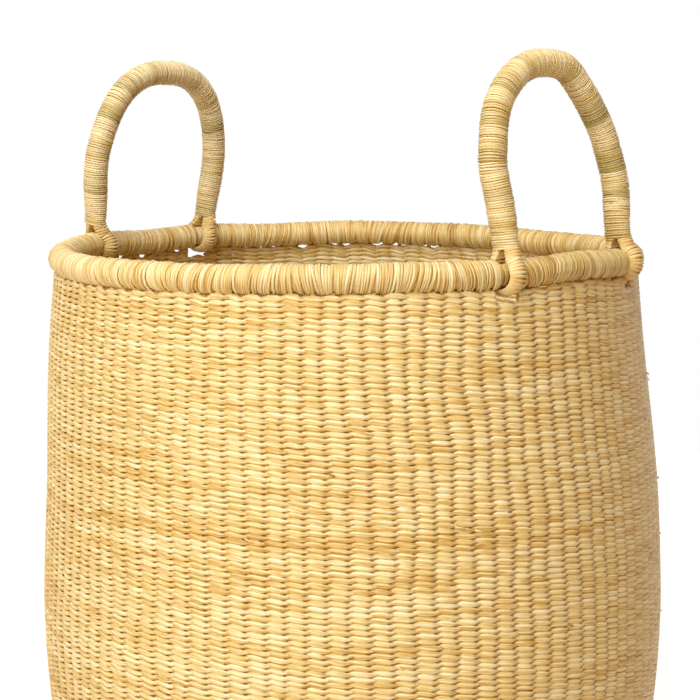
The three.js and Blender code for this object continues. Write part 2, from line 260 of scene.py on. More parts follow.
def twined_row(place, stakes, sides, draw, sag=level, stretches=None):
    """The two strands of one row: sag is how far it is pushed down at each angle, and stretches are the
    angles from and to which it runs, where it doesn't go all round."""
    stitch_angle = 2 * np.pi / stakes
    strands = []
    laid_in = max(3, round(2 * np.pi * np.interp(place, weave_places, weave_line[:, 0]) / STRAW_LENGTH))
    joins = np.sort(draw.uniform(0, 2 * np.pi, laid_in))
    ripeness_of = draw.choice(STRAW_RIPENESS, laid_in, p=RIPENESS_SHARES)
    ripeness_of = ripeness_of + draw.normal(0, RIPENESS_SPREAD, laid_in)
    strays = draw.normal(0, CROSSING_UNEVEN / rim_radius, stakes)
    for ply in (0, 1):
        fullness_of, rise_of, tint_of = draw.normal(0, 1, (3, stakes))
        for start, end in stretches or [(0, 2 * np.pi)]:
            passed = np.arange(math.floor(start / stitch_angle), math.ceil(end / stitch_angle) + 1)
            phase = (passed[:, None] * np.pi + STITCH_PLACES).ravel()
            if stretches:
                first, last = start * stakes / 2, end * stakes / 2
                clear = (phase > first + CUT_MARGIN) & (phase < last - CUT_MARGIN)
                phase = np.concatenate([[first], phase[clear], [last]])
            else:
                phase = phase[: stakes * len(STITCH_PLACES)]
            angle = phase * 2 / stakes
            angle = angle + stake_shift(angle, place)
            crossing = np.floor(phase / np.pi).astype(int) % stakes
            phase = phase + ply * np.pi
            over, past = np.cos(phase), np.sin(phase)
            angle = angle + strays[crossing] * past**2
            stitch = np.rint(phase / np.pi).astype(int) % stakes
            fullness = 1 + FULLNESS_UNEVEN * fullness_of[stitch] * over**2
            uneven = row_drift(angle, place) * ROW_UNEVEN + STITCH_UNEVEN * rise_of[stitch] * over**2
            swing = np.sign(over) * np.abs(over) ** STRAND_FLATNESS
            lifted = 1 + FULLNESS_LIFTS * (fullness - 1)
            offset = STRAND_SWING * swing * lifted + STRAND_OVERLAP * past
            lie = place - sag(angle, place) + uneven - STRAND_CLIMB * past
            points, outward = in_weave(angle, lie, offset)
            widened = np.clip(CROSSING_WIDTH + WIDENING * np.abs(over), 0, 1)
            half_width = STRAND_WIDTH / 2 * widened * fullness
            half_depth = STRAND_DEPTH / 2
            straw_there = np.searchsorted(joins, angle % (2 * np.pi)) % laid_in
            ripeness = ripeness_of[straw_there] + STITCH_TINT * tint_of[stitch]
            # offset and reach set how deep each corner lies in the weave, and so the painted shade in the
            # pits and between the rows
            reach = STRAND_SWING + half_depth
            closed = stretches is None
            strands.append(
                straw(points, outward, half_width, half_depth, sides, ripeness, 0, offset, reach, closed)
            )
    return strands


def linear(code):
    """An sRGB hex colour as linear RGBA."""
    shares = [int(code[i : i + 2], 16) / 255 for i in (1, 3, 5)]
    return [s / 12.92 if s <= 0.04045 else ((s + 0.055) / 1.055) ** 2.4 for s in shares] + [1]


def add_node(tree, kind, sockets=None, **settings):
    """A node with its settings, its sockets set to a value or linked to another node's output."""
    node = tree.nodes.new(kind)
    for name, value in settings.items():
        setattr(node, name, value)
    for socket, value in (sockets or {}).items():
        if isinstance(value, bpy.types.NodeSocket):
            tree.links.new(value, node.inputs[socket])
        else:
            node.inputs[socket].default_value = value
    return node


FIBRE_LENGTH = 0.022
SPLIT_FIBRE = 0.0009  # real fibres are finer, but would be lost in the picture
FINE_FIBRE = 0.0007
PATCH_SIZE = 0.07
GREEN_GRASS = "#A69A52"
# Painted shade: where a corner lies deep in the weave, in the pits, between the rows and in the grooves
# between wound turns, the straw's colour is multiplied towards this golden brown, up to the most share given
# below.
PAINTED_SHADE_COLOUR = "#ECB44C"
PAINTED_SHADE_FROM = 0.45  # depth in the weave, from 0 on its face to 1 in its middle, at which the painted shade starts
PAINTED_SHADE_TO = 0.85
PAINTED_SHADE_MOST = 0.6
SMOOTHEST = 0.3  # roughness of the glossiest fibre
ROUGHEST = 0.54
FIBRE_RELIEF = 0.0004
FIBRE_BUMP = 0.8


def dried_grass(name, pale, light, golden, brown, fibre_width, streak, patch):
    """Split grass dried in the sun: satin, with fibres along the straw in lighter and darker streaks, and
    a colour that goes from cream to amber. The colours are given from the palest to the ripest. Where a
    corner lies deep in the weave, its colour is darkened as painted shade."""
    material = bpy.data.materials.new(name)
    material.use_nodes = True
    tree = material.node_tree
    shader = tree.nodes["Principled BSDF"]
    lie = add_node(tree, "ShaderNodeUVMap", uv_map="lie")
    fine = (1 / FIBRE_LENGTH, 1 / fibre_width, 1)
    fibre = add_node(tree, "ShaderNodeMapping", {"Vector": lie.outputs["UV"], "Scale": fine})
    streaks = add_node(
        tree, "ShaderNodeTexNoise", {"Vector": fibre.outputs["Vector"], "Scale": 1, "Detail": 3}
    )
    place = add_node(tree, "ShaderNodeTexCoord")
    patches = add_node(
        tree, "ShaderNodeTexNoise", {"Vector": place.outputs["Object"], "Scale": 1 / PATCH_SIZE, "Detail": 2}
    )
    grass = add_node(tree, "ShaderNodeAttribute", attribute_name="grass")
    tone_and_shade = add_node(tree, "ShaderNodeSeparateXYZ", {"Vector": grass.outputs["Vector"]})
    ripeness = add_node(
        tree,
        "ShaderNodeMath",
        {0: streaks.outputs["Fac"], 1: streak, 2: tone_and_shade.outputs["X"]},
        operation="MULTIPLY_ADD",
    )
    ripeness = add_node(
        tree,
        "ShaderNodeMath",
        {0: patches.outputs["Fac"], 1: patch, 2: ripeness.outputs[0]},
        operation="MULTIPLY_ADD",
    )
    added = (streak + patch) / 2  # what the two patterns add on average
    share = add_node(
        tree,
        "ShaderNodeMapRange",
        {"Value": ripeness.outputs[0], "From Min": added, "From Max": 1 + added},
    )
    colour = add_node(tree, "ShaderNodeValToRGB", {"Fac": share.outputs["Result"]})
    stops = colour.color_ramp.elements
    stops[0].position, stops[0].color = 0.1, linear(pale)
    stops[1].position, stops[1].color = 0.35, linear(light)
    for position, code in ((0.6, golden), (0.95, brown)):
        stops.new(position).color = linear(code)
    greened = add_node(
        tree,
        "ShaderNodeMixRGB",
        {"Fac": tone_and_shade.outputs["Y"], "Color1": colour.outputs["Color"], "Color2": linear(GREEN_GRASS)},
    )
    # Painted shade: the deeper a corner lies in the weave, the more its colour is multiplied towards the
    # painted shade colour.
    deep = add_node(
        tree,
        "ShaderNodeMapRange",
        {"Value": tone_and_shade.outputs["Z"], "From Min": PAINTED_SHADE_FROM, "From Max": PAINTED_SHADE_TO, "To Max": PAINTED_SHADE_MOST},
    )
    shaded = add_node(
        tree,
        "ShaderNodeMixRGB",
        {"Fac": deep.outputs["Result"], "Color1": greened.outputs["Color"], "Color2": linear(PAINTED_SHADE_COLOUR)},
        blend_type="MULTIPLY",
    )
    rough = add_node(
        tree,
        "ShaderNodeMapRange",
        {"Value": streaks.outputs["Fac"], "To Min": SMOOTHEST, "To Max": ROUGHEST},
    )
    bump = add_node(
        tree,
        "ShaderNodeBump",
        {"Height": streaks.outputs["Fac"], "Strength": FIBRE_BUMP, "Distance": FIBRE_RELIEF},
    )
    tree.links.new(shaded.outputs["Color"], shader.inputs["Base Color"])
    tree.links.new(rough.outputs["Result"], shader.inputs["Roughness"])
    tree.links.new(bump.outputs["Normal"], shader.inputs["Normal"])
    return material


weave_grass = dried_grass(
    "twined_grass_straw", "#FCF0C2", "#EFD894", "#DCB562", "#AA7A32", SPLIT_FIBRE, streak=1.9, patch=0.15
)
draw = np.random.default_rng(20)
for name, rounds in (("base_middle_rounds", BASE_ROUNDS[:2]), ("base_outer_rounds", BASE_ROUNDS[2:])):
    strands = []
    for inner, outer, stakes in rounds:
        rows = round((outer - inner) / ROW_PITCH)
        for row in range(rows):
            strands += twined_row(inner + (outer - inner) * (row + 0.5) / rows, stakes, BASE_SIDES, draw)
    lay_straws(name, strands, weave_grass, "basket", ["base_weave"])

# Stakes
# Stiff grass stalks that the twining holds: they lie between the strands of the base like spokes,
# turn up at its edge and stand in the wall. Their tops show under the rim, which is sewn to them.
STAKE_WIDTH = 0.0034
STAKE_UNEVEN = 0.05
STAKE_SIDES = 6
STAKE_STEPS = 34
HEEL_STEPS = np.linspace(-0.008, 0.04, 17)  # past the edge of the base, where a stake bends up
STAKE_TUCK = 0.001  # how far a stake runs on into the rim
SLID = {"right": 0.0027, "left": -0.0023}  # how far each handle has slid towards the back of the basket
# How far each foot is drawn aside below its stem, towards the back of the basket
DRAWN_ASIDE = {"right_front": -0.004, "right_back": 0.002, "left_front": 0.0075, "left_back": -0.0045}
LOOP_HALF_WIDTH = 0.0086  # weave that each rim loop parts, to each side
LOOP_REACH = 0.0163  # middle of the rim roll to the bottom of the parting
# Where the rim is pulled up off the weave: degrees round the basket, degrees to each side, and how far
RIM_GAPS = ((182, 22, 0.0026), (125, 34, 0.0020))
GAP_SHOULDER = 1.4  # above 1, a gap keeps its full height for a while beside its middle
GAP_EVEN = 0.75
GAP_UNEVEN = 0.35
GAP_SOFTENS = 0.012  # how far below the top row a gap still shows
TOP_UNEVEN = 0.0009
TOP_LIMITS = (-0.3, 2)  # of the unevenness, so that no row is pushed far up into the rim
FOOT_PRESSES = 0.0014  # how far the rows give way below a foot
FOOT_HOLDS = (0.005, 0.016)  # to each side of a foot, from where to where the top rows may come to hang


def foot_angle(foot):
    """Angle round the basket at which a handle's foot clasps the rim."""
    corners = [*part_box(f"{foot}_outer_leg"), *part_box(f"{foot}_inner_leg")]
    along_rim = sum(c.y for c in corners) / 4 + SLID[foot.split("_")[0]] + DRAWN_ASIDE[foot]
    angle = math.asin(along_rim / rim_radius)
    return angle % (2 * np.pi) if foot.startswith("right") else math.pi - angle


foot_angles = sorted(foot_angle(f) for f in ("right_front", "right_back", "left_front", "left_back"))
parting = LOOP_HALF_WIDTH / rim_radius
loop_stretches = [
    (start + parting, end - parting)
    for start, end in zip(foot_angles, foot_angles[1:] + [foot_angles[0] + 2 * np.pi])
]


def beside_feet(angle, limits):
    """For each foot, from 0 where it clasps the rim to 1 beside it, between two limits along the rim."""
    shares = []
    for foot in foot_angles:
        away = np.abs((angle - foot + np.pi) % (2 * np.pi) - np.pi) * rim_radius
        shares.append(between(away, limits))
    return shares


def top_sag(angle, place):
    """How far the top rows hang below the rim roll."""
    uneven = row_drift(5 * angle, 0)
    hanging = TOP_UNEVEN * np.clip(uneven, *TOP_LIMITS)
    for middle, reach, height in RIM_GAPS:
        away = np.abs((np.degrees(angle) - middle + 180) % 360 - 180)
        opening = height * smoothed(GAP_SHOULDER * (1 - away / reach))
        hanging = hanging + opening * (GAP_EVEN + GAP_UNEVEN * uneven)
    for free in beside_feet(angle, FOOT_HOLDS):
        hanging = hanging * free + FOOT_PRESSES * (1 - free)
    return hanging * np.exp((place - top_place) / GAP_SOFTENS)


stalk_grass = dried_grass(
    "grass_stalks", "#F6E2A8", "#EACA80", "#D4AA5C", "#A07638", SPLIT_FIBRE, streak=0.6, patch=0.3
)
draw = np.random.default_rng(21)
stalks = []
for inner, outer, stakes in BASE_ROUNDS:
    for stake in range(stakes):
        stands = 2 * np.pi * stake / stakes
        reach = top_place if stakes == WALL_STAKES else outer
        to_feet = [abs((stands - a + np.pi) % (2 * np.pi) - np.pi) for a in foot_angles]
        if stakes == WALL_STAKES and min(to_feet) < parting + STAKE_WIDTH / 2 / rim_radius:
            reach = top_place - (LOOP_REACH - roll_radius)
        place = np.linspace(inner, reach, STAKE_STEPS)
        if stakes == WALL_STAKES:
            place = np.union1d(place, base_radius + HEEL_STEPS)
        points, outward = in_weave(stands + stake_shift(stands, place), place, 0)
        if reach == top_place:
            points[-1, 2] += STAKE_TUCK
        half_width = STAKE_WIDTH / 2 * draw.normal(1, STAKE_UNEVEN)
        half_depth = STAKE_WIDTH / 2
        ripeness = draw.beta(3, 3)
        stalks.append(
            straw(points, outward, half_width, half_depth, STAKE_SIDES, ripeness, 0, half_depth, STAKE_WIDTH)
        )
lay_straws("stakes", stalks, stalk_grass, "basket", ["wall_weave", "base_weave"])

# Woven wall
# Rows of the same twining go on up the stakes, over the heel and the belly to just under the rim. They
# are beaten down close, so that only small pits show between the stitches. The rim loops part the top rows.
WALL_SIDES = 6
ROWS_PER_PIECE = 18  # the wall is kept in bands that aren't too heavy

draw = np.random.default_rng(22)
wall_rows = round((top_place - base_radius) / ROW_PITCH)
row_pitch = (top_place - base_radius) / wall_rows
bands = math.ceil(wall_rows / ROWS_PER_PIECE)
for band in range(bands):
    strands = []
    for row in range(wall_rows * band // bands, wall_rows * (band + 1) // bands):
        place = base_radius + row_pitch * (row + 0.5)
        loops_pass = place - row_pitch / 4 > top_place - ROWS_PACKED + roll_radius - LOOP_REACH
        stretches = loop_stretches if loops_pass else None
        strands += twined_row(place, WALL_STAKES, WALL_SIDES, draw, top_sag, stretches)
    lay_straws(f"wall_rows_{band + 1:02d}", strands, weave_grass, "basket", ["wall_weave"])

# Loose ends
# Where one straw of the twining ends and the next is laid in, the ends are left sticking a little out of
# the wall: short stubs of the same straw.
LOOSE_ENDS = 130
STUB_LENGTH = 0.006
STUB_WIDTH = 0.0013
STUB_SIDES = 4
STUB_MARGIN = 0.02  # of wall at the heel and under the rim that has none
STUB_STARTS = 0.0022  # out from the middle of the weave
STUB_RISES = 0.0018  # how much further out its tip is

draw = np.random.default_rng(23)
stubs = []
for stub in range(LOOSE_ENDS):
    side = draw.choice([1, 1, 1, -1])
    place = draw.uniform(base_radius + STUB_MARGIN, top_place - STUB_MARGIN)
    angle = 2 * np.pi * (draw.integers(WALL_STAKES) + 0.5) / WALL_STAKES
    reach = STUB_LENGTH * draw.uniform(0.6, 1.3)
    share = np.array([0, 0.5, 1])
    around = angle + stake_shift(angle, place) + share * reach * draw.uniform(0.5, 0.95) / belly_radius
    rising = place + share * reach * draw.normal(-0.15, 0.25)
    points, outward = in_weave(around, rising, side * (STUB_STARTS + STUB_RISES * share))
    ripeness = draw.choice([0.2, 0.5, 0.9])
    half_width = STUB_WIDTH / 2
    stubs.append(
        straw(points, outward, half_width, half_width / 2, STUB_SIDES, ripeness, 0, STUB_WIDTH, STUB_WIDTH)
    )
lay_straws("loose_ends", stubs, weave_grass, "basket", ["wall_weave"])

# Rim core
# A ring of grass stalks laid along the mouth, which gives the rim its thickness. It shows only as a
# shade between the turns of the wrapping.
RIM_STRAW_DEPTH = 0.0014
RIM_CORE_STEPS = 416
CORE_SIDES = 12
RIM_CORE_RIPENESS = 0.35
SQUEEZE = 0.0024  # how far a handle's foot presses the roll in
SQUEEZE_REACH = (0.004, 0.008)  # to each side of the foot, from where to where the roll swells again


def roll_at(angle):
    """Radius of the rim roll over its wrapping: it is pressed in under the handles' feet."""
    radius = roll_radius + 0 * angle
    for free in beside_feet(angle, SQUEEZE_REACH):
        radius = radius - SQUEEZE * (1 - free)
    return radius


angle = 2 * np.pi * np.arange(RIM_CORE_STEPS) / RIM_CORE_STEPS
points = np.stack([rim_radius * np.cos(angle), rim_radius * np.sin(angle), rim_height + rim_lift(angle)], 1)
outward = np.stack([np.cos(angle), np.sin(angle), 0 * angle], 1)
pressed = roll_radius - roll_at(angle)
bed = roll_radius - RIM_STRAW_DEPTH - 2 * pressed  # the stalks give way under the feet
ring = straw(points, outward, bed, bed, CORE_SIDES, RIM_CORE_RIPENESS, 0, roll_radius, roll_radius, True)
lay_straws("rim_bundle", [ring], stalk_grass, "basket", ["rim_core"])

# Rim wrapping
# Flat straw wound closely round the core and down between the stakes, seven turns to a gap, so that the
# turns bunch together underneath and leave slits at the stakes. Twelve lengths follow each other, each
# from another straw, with their ends tucked in underneath.
RIM_LENGTHS = 12
TURNS_PER_GAP = 7
RIM_STRAW_WIDTH = 0.0024
RIM_TURN_STEPS = 12
RIM_BUNCHING = 0.2  # how much closer the turns lie underneath
RIM_SIDES = 6
RIM_SLANT = 1.5  # turns that a straw strays between the top and the bottom of the roll
GROOVE_SHADE_HEIGHT = 0.3  # edge of a wound straw over its bed, as a share of the straw's depth: the lower, the darker the painted shade along the grooves between turns
TUCK = 0.15  # of a turn, over which an end sinks to the core
RIM_TUCK_DEPTH = 0.0012
RIM_SLIP = 0.15  # of a turn, how far the turns stray sideways
RIM_SWELL = 0.0002
RIM_WIDTH_UNEVEN = 0.15
RIM_TONE_UNEVEN = 0.11
RIM_NARROWS = 0.3  # how much narrower a straw lies where it is pulled down inside the weave
RIM_NARROWS_AT = 0.9  # radians round the roll from its bottom
RIM_RIPENESS = (0.42, 0.40, 0.52, 0.48, 0.44, 0.40, 0.36, 0.36, 0.32, 0.36, 0.36, 0.46)  # of each length
RIM_GREEN = (0.08, 0.0, 0.05, 0.12, 0.0, 0.0, 0.0, 0.05, 0.0, 0.0, 0.05, 0.12)

rim_turns = WALL_STAKES * TURNS_PER_GAP
rim_grass = dried_grass(
    "rim_wrapping_straw", "#FCF0C2", "#F0D894", "#DCB562", "#A87832", FINE_FIBRE, streak=2.0, patch=0.2
)
draw = np.random.default_rng(31)
rim_slant = unevenness(seed=32, waves=9, most_round=30, shortest=1)
knots = np.arange(-1, rim_turns + 2, 0.5)
slips = draw.normal(0, RIM_SLIP, len(knots))
swells = draw.normal(0, RIM_SWELL, len(knots))
widths = draw.normal(1, RIM_WIDTH_UNEVEN, len(knots))
ripes = draw.normal(0, RIM_TONE_UNEVEN, len(knots))
for length in range(RIM_LENGTHS):
    start = round(rim_turns * length / RIM_LENGTHS) + 0.5
    end = round(rim_turns * (length + 1) / RIM_LENGTHS) + 0.5
    turn = np.linspace(start, end, int((end - start) * RIM_TURN_STEPS) + 1)
    round_roll = 2 * np.pi * (turn - 0.5)
    in_gap = (turn % TURNS_PER_GAP) - TURNS_PER_GAP / 2
    underneath = ((1 + np.cos(round_roll)) / 2) ** 2
    slip = np.interp(turn, knots, slips)
    slip += RIM_SLANT / 2 * np.cos(round_roll) * rim_slant(2 * np.pi * turn / rim_turns, 0)
    angle = 2 * np.pi * (turn + slip - in_gap * RIM_BUNCHING * underneath) / rim_turns
    outward = np.stack(
        [np.sin(round_roll) * np.cos(angle), np.sin(round_roll) * np.sin(angle), -np.cos(round_roll)], 1
    )
    tucked = np.clip(np.minimum(turn - start, end - turn) / TUCK, 0, 1)
    stand = roll_at(angle) - RIM_STRAW_DEPTH / 2 + np.interp(turn, knots, swells)
    stand = stand - RIM_TUCK_DEPTH * (1 - tucked)
    rise = rim_height + rim_lift(angle)
    middle = np.stack([rim_radius * np.cos(angle), rim_radius * np.sin(angle), rise], 1)
    narrowed = 1 - RIM_NARROWS * np.clip(np.cos(round_roll - RIM_NARROWS_AT), 0, 1)
    wound = straw(
        middle + outward * stand[:, None],
        outward,
        RIM_STRAW_WIDTH / 2 * np.interp(turn, knots, widths) * narrowed,
        RIM_STRAW_DEPTH / 2,
        RIM_SIDES,
        RIM_RIPENESS[length] + ripes[np.rint(turn).astype(int)],
        RIM_GREEN[length],
        RIM_STRAW_DEPTH * GROOVE_SHADE_HEIGHT,
        RIM_STRAW_DEPTH * (GROOVE_SHADE_HEIGHT + 0.5),
    )
    node = f"rim_wrap_{length + 1:02d}"
    lay_straws(f"rim_winding_{length + 1:02d}", [wound], rim_grass, "basket", [node])

# Handle wrapping
# Each handle is a bent bundle of grass wound from foot to foot with split straw, thirteen straws end to
# end. A straw is cream at its butt and olive green towards its tip, so every straw shows as a band that
# darkens on its way down the handle.
HANDLE_LEAN = math.radians(-8)  # in over the mouth
FOOT_HALF_SPACING = 0.061
ARCH_HALF_WIDTH = 0.068
ARCH_HEIGHT = 0.130
ARCH_POWER = 2.5
ARCH_STEPS = 801
HANDLE_RADIUS = 0.0093
LEG_WIDTH = 0.0104
LEG_THICKNESS = 0.0064
SWING_CLEARANCE = 0.0008
FORK_RISE = 0.003
HANDLE_STRAWS = 13
TURNS_PER_STRAW = 15
HANDLE_STRAW_DEPTH = 0.0013
HANDLE_TURN_STEPS = 12
HANDLE_SIDES = 6
COVERS_FORK = 0.002  # how far the first turns come down over the legs
FLAT_BELOW = 0.002  # below the fork, where the bundle is spread flat
ROUND_ABOVE = 0.024  # above the fork, where it is round
FORK_NARROWS = 0.4  # how much narrower a flat bundle is along the hinge line
FORK_BULGES = 0.05  # how much wider it is across
HANDLE_CORE_STEPS = 80
HANDLE_CORE_RIPENESS = 0.6
HANDLE_TUCK_DEPTH = 0.0008
HANDLE_SLIP = 0.1  # of a turn
HANDLE_SWELL = 0.00014
HANDLE_WIDTH_UNEVEN = 0.12
HANDLE_TONE_UNEVEN = 0.11
HANDLE_OVERLAP = 1.02  # width of a straw to the distance between two turns
RIPENS = 0.24  # from a straw's pale end to its green one
GREEN_FROM = 0.3  # of the way along a straw
foot_slant = math.asin(FOOT_HALF_SPACING / rim_radius)
leg_stand_off = math.hypot(LEG_THICKNESS / 2, LEG_WIDTH / 2 * math.tan(foot_slant))
loop_radius = roll_radius / math.cos(foot_slant) + SWING_CLEARANCE + leg_stand_off
fork_height = loop_radius + FORK_RISE

# How the maker's hands bent each handle off its even arch: share of the way from its first foot to its
# last, then how far along the hinge line and up. The right handle starts in front, the left one at the back.
HAND_BENT = {
    "right": (
        (0, 0, 0), (0.1, 0.0012, 0), (0.2, -0.002, 0), (0.3, -0.0045, 0), (0.45, 0, 0.002),
        (0.55, -0.002, 0.002), (0.66, -0.008, 0.001), (0.8, -0.004, 0), (0.9, 0, 0), (1, 0, 0),
    ),
    "left": ((0, 0, 0), (0.15, 0, 0), (0.3, -0.002, 0), (0.5, -0.0005, -0.0008), (0.7, 0, 0), (1, 0, 0)),
}
UNRIPE = {"right": 0.15, "left": 0.02}  # the pale end of a straw
# Where one straw follows another, as shares of the handle, and how green the lower end of each straw is
STRAW_ENDS = {
    "right": (0, 0.03, 0.10, 0.18, 0.25, 0.33, 0.41, 0.50, 0.60, 0.73, 0.85, 0.91, 1),
    "left": (0, 0.11, 0.23, 0.31, 0.39, 0.47, 0.57, 0.66, 0.74, 0.83, 0.92, 1),
}
STRAW_GREEN = {
    "right": (0.15, 0.25, 0.3, 0.35, 0.4, 0.4, 0.3, 0.35, 0.75, 0.7, 0.6, 0.35),
    "left": (0.35, 0.2, 0.65, 0.3, 0.2, 0.2, 0.5, 0.6, 0.35, 0.45, 0.2),
}


def arch_line(side):
    """Middle of a handle from fork to fork: along the hinge line, and up from it."""
    turn = np.linspace(0, np.pi, ARCH_STEPS)
    across = np.sign(np.cos(turn)) * np.abs(np.cos(turn)) ** (2 / ARCH_POWER)
    rise = np.clip(np.sin(turn), 0, 1) ** (2 / ARCH_POWER)
    half_width = FOOT_HALF_SPACING + (ARCH_HALF_WIDTH - FOOT_HALF_SPACING) * smoothed(rise * 2)
    line = np.stack([-half_width * across, fork_height + (ARCH_HEIGHT - fork_height) * rise], 1)
    below = np.array([0, COVERS_FORK])
    line = np.concatenate([[line[0] - below], line, [line[-1] - below]])
    places = np.concatenate([[0], np.cumsum(np.linalg.norm(np.diff(line, axis=0), axis=1))])
    share = places / places[-1]
    bends = np.array(HAND_BENT[side])
    for start, end in zip(bends, bends[1:]):
        through = (share - start[0]) / (end[0] - start[0])
        inside = (through >= 0) & (through < 1)
        line[inside] += start[1:] + (end - start)[1:] * smoothed(through[inside])[:, None]
    line[-1] += bends[-1, 1:]
    places = np.concatenate([[0], np.cumsum(np.linalg.norm(np.diff(line, axis=0), axis=1))])
    return line, places


def along_line(line, places, place):
    """Points of a line at the given places along it, with the directions in which it runs there."""
    near = 0.0012
    spots = [np.clip(p, 0, places[-1]) for p in (place, place + near, place - near)]
    here, ahead, behind = (np.stack([np.interp(p, places, line[:, i]) for i in (0, 1)], 1) for p in spots)
    slope = ahead - behind
    return here, slope / np.linalg.norm(slope, axis=1)[:, None]


def spread_at(height):
    """From 1 at the fork, where the bundle is spread flat, to 0 where it is round."""
    return smoothed((fork_height + ROUND_ABOVE - height) / (ROUND_ABOVE + FLAT_BELOW))


def handle_axes(joint):
    """Hinge point and the handle's own directions: out, along the hinge line, and up the handle."""
    along = np.array(joint["axis"], float)
    along /= np.linalg.norm(along)
    up = np.array([0, 0, 1.0])
    out = np.cross(along, up)
    leaning_up = up * math.cos(HANDLE_LEAN) + out * math.sin(HANDLE_LEAN)
    leaning_out = out * math.cos(HANDLE_LEAN) - up * math.sin(HANDLE_LEAN)
    side = joint["child"].removesuffix("_handle")
    middle = np.array(joint["pos_m"], float) + along * SLID[side] * np.sign(along[1])
    return middle, leaning_out, along, leaning_up


handle_grass = dried_grass(
    "handle_wrapping_straw", "#FCEDBE", "#F1D893", "#DEB866", "#A87C38", FINE_FIBRE, streak=1.4, patch=0.2
)
draw = np.random.default_rng(41)
for joint in frame["joints"]:
    side = joint["child"].removesuffix("_handle")
    hinge, out, along, up = handle_axes(joint)
    arch, arch_places = arch_line(side)
    arch_length = arch_places[-1]
    handle_turns = HANDLE_STRAWS * TURNS_PER_STRAW
    pitch = arch_length / handle_turns
    knots = np.arange(-1, handle_turns + 2, 0.25)
    slips = draw.normal(0, HANDLE_SLIP, len(knots))
    swells = draw.normal(0, HANDLE_SWELL, len(knots))
    widths = draw.normal(1, HANDLE_WIDTH_UNEVEN, len(knots))
    ripes = draw.normal(0, HANDLE_TONE_UNEVEN, len(knots))
    ends, greens = np.array(STRAW_ENDS[side]), np.array(STRAW_GREEN[side])
    core_line, _ = along_line(arch, arch_places, np.linspace(0, arch_length, HANDLE_CORE_STEPS))
    core_radius = HANDLE_RADIUS - HANDLE_STRAW_DEPTH
    core = straw(
        hinge + core_line[:, :1] * along + core_line[:, 1:] * up,
        np.tile(out, (HANDLE_CORE_STEPS, 1)),
        core_radius * (1 - FORK_NARROWS * spread_at(core_line[:, 1])),
        core_radius,
        CORE_SIDES,
        HANDLE_CORE_RIPENESS,
        0,
        core_radius,
        core_radius,
    )
    node = f"{side}_handle_core"
    lay_straws(f"{side}_handle_bundle", [core], stalk_grass, f"{side}_handle", [node])
    for index in range(HANDLE_STRAWS):
        start, end = index * TURNS_PER_STRAW, (index + 1) * TURNS_PER_STRAW
        turn = np.linspace(start, end, TURNS_PER_STRAW * HANDLE_TURN_STEPS + 1)
        place = np.clip((turn + np.interp(turn, knots, slips)) * pitch, 0, arch_length)
        line, slope = along_line(arch, arch_places, place)
        middle = hinge + line[:, :1] * along + line[:, 1:] * up
        inward = slope[:, 1:] * along - slope[:, :1] * up
        round_core = 2 * np.pi * turn
        spread = spread_at(line[:, 1])[:, None]
        inner_part = inward * np.cos(round_core)[:, None] * (1 - FORK_NARROWS * spread)
        outward = inner_part + out * np.sin(round_core)[:, None] * (1 + FORK_BULGES * spread)
        tucked = np.clip(np.minimum(turn - start, end - turn) / TUCK, 0, 1)
        stand = HANDLE_RADIUS - HANDLE_STRAW_DEPTH / 2 + np.interp(turn, knots, swells)
        stand = stand - HANDLE_TUCK_DEPTH * (1 - tucked)
        share = place / arch_length
        band = np.clip(np.searchsorted(ends, share, "right") - 1, 0, len(greens) - 1)
        through = (share - ends[band]) / (ends[band + 1] - ends[band])
        down = np.where(ends[band] + ends[band + 1] < 1, 1 - through, through)
        green = greens[band] * between(down, (GREEN_FROM, 1))
        ripeness = UNRIPE[side] + RIPENS * down + np.interp(turn, knots, ripes)
        wound = straw(
            middle + outward * stand[:, None],
            outward,
            pitch / 2 * HANDLE_OVERLAP * np.interp(turn, knots, widths),
            HANDLE_STRAW_DEPTH / 2,
            HANDLE_SIDES,
            ripeness,
            green,
            HANDLE_STRAW_DEPTH * GROOVE_SHADE_HEIGHT,
            HANDLE_STRAW_DEPTH * (GROOVE_SHADE_HEIGHT + 0.5),
        )
        node = f"{side}_handle_wrap_{index + 1:02d}"
        piece_name = f"{side}_handle_winding_{index + 1:02d}"
        lay_straws(piece_name, [wound], handle_grass, f"{side}_handle", [node])

# Handle feet
# At each foot the handle's bundle parts into two legs that clasp the rim, one outside and one inside,
# and are drawn together under it. Each leg is a small flat bundle wound with straw, which is knotted
# along one edge, so that its turns stand up there as ridges and lie flat elsewhere.
LEG_BULK = 0.0078  # of a leg that presses into the rim, out from the rim
LEG_END_BULK = 0.0064  # where a leg is drawn in under the rim
LEG_SPREAD = 0.0142  # of a leg along the rim
LEG_BORE = 0.0078  # inside of the loop
LEG_SHOULDER = 40  # degrees from the top of a loop to where its leg comes beside the rim
LEG_END = 179  # degrees from the top of a loop to where its leg ends
LEG_STEPS = 24
LEG_STARTS = 0.001  # above the fork
LEG_HUGS = 0.6  # how far its edges are laid down on the rim, as a share of half its bulk
LEG_TURNS = 19
LEG_TURN_STEPS = 16
LEG_STRAW_DEPTH = 0.0013
FLAT_STRAW = (1.6, 0.6)  # width to the distance between turns, and depth to a straw's, where it lies flat
RIDGE_STRAW = (0.7, 1.6)  # the same along the knotted edge
LEG_RIDGE = 0.0014  # how far the turns stand up along the knotted edge
LEG_SIDES = 6
LEG_NECK = 0.75  # width of a leg at its fork, as a share of its full width
LEG_NECK_LENGTH = 0.012
LEG_SLIP = 0.1  # of a turn
LEG_RIPENESS = 0.36
LEG_TONE_UNEVEN = 0.08
LEG_GREEN = 0.1
LEG_CORE_WIDTH = 0.5  # of the bundle in a leg, as a share of the leg's width
LEG_CORE_DEPTH = 0.55  # as a share of its thickness
LEG_CORE_SIDES = 8
LEG_CORE_RIPENESS = 0.4
KNOTTED_EDGE = np.array([0.76, 0.65, 0])  # the way it faces


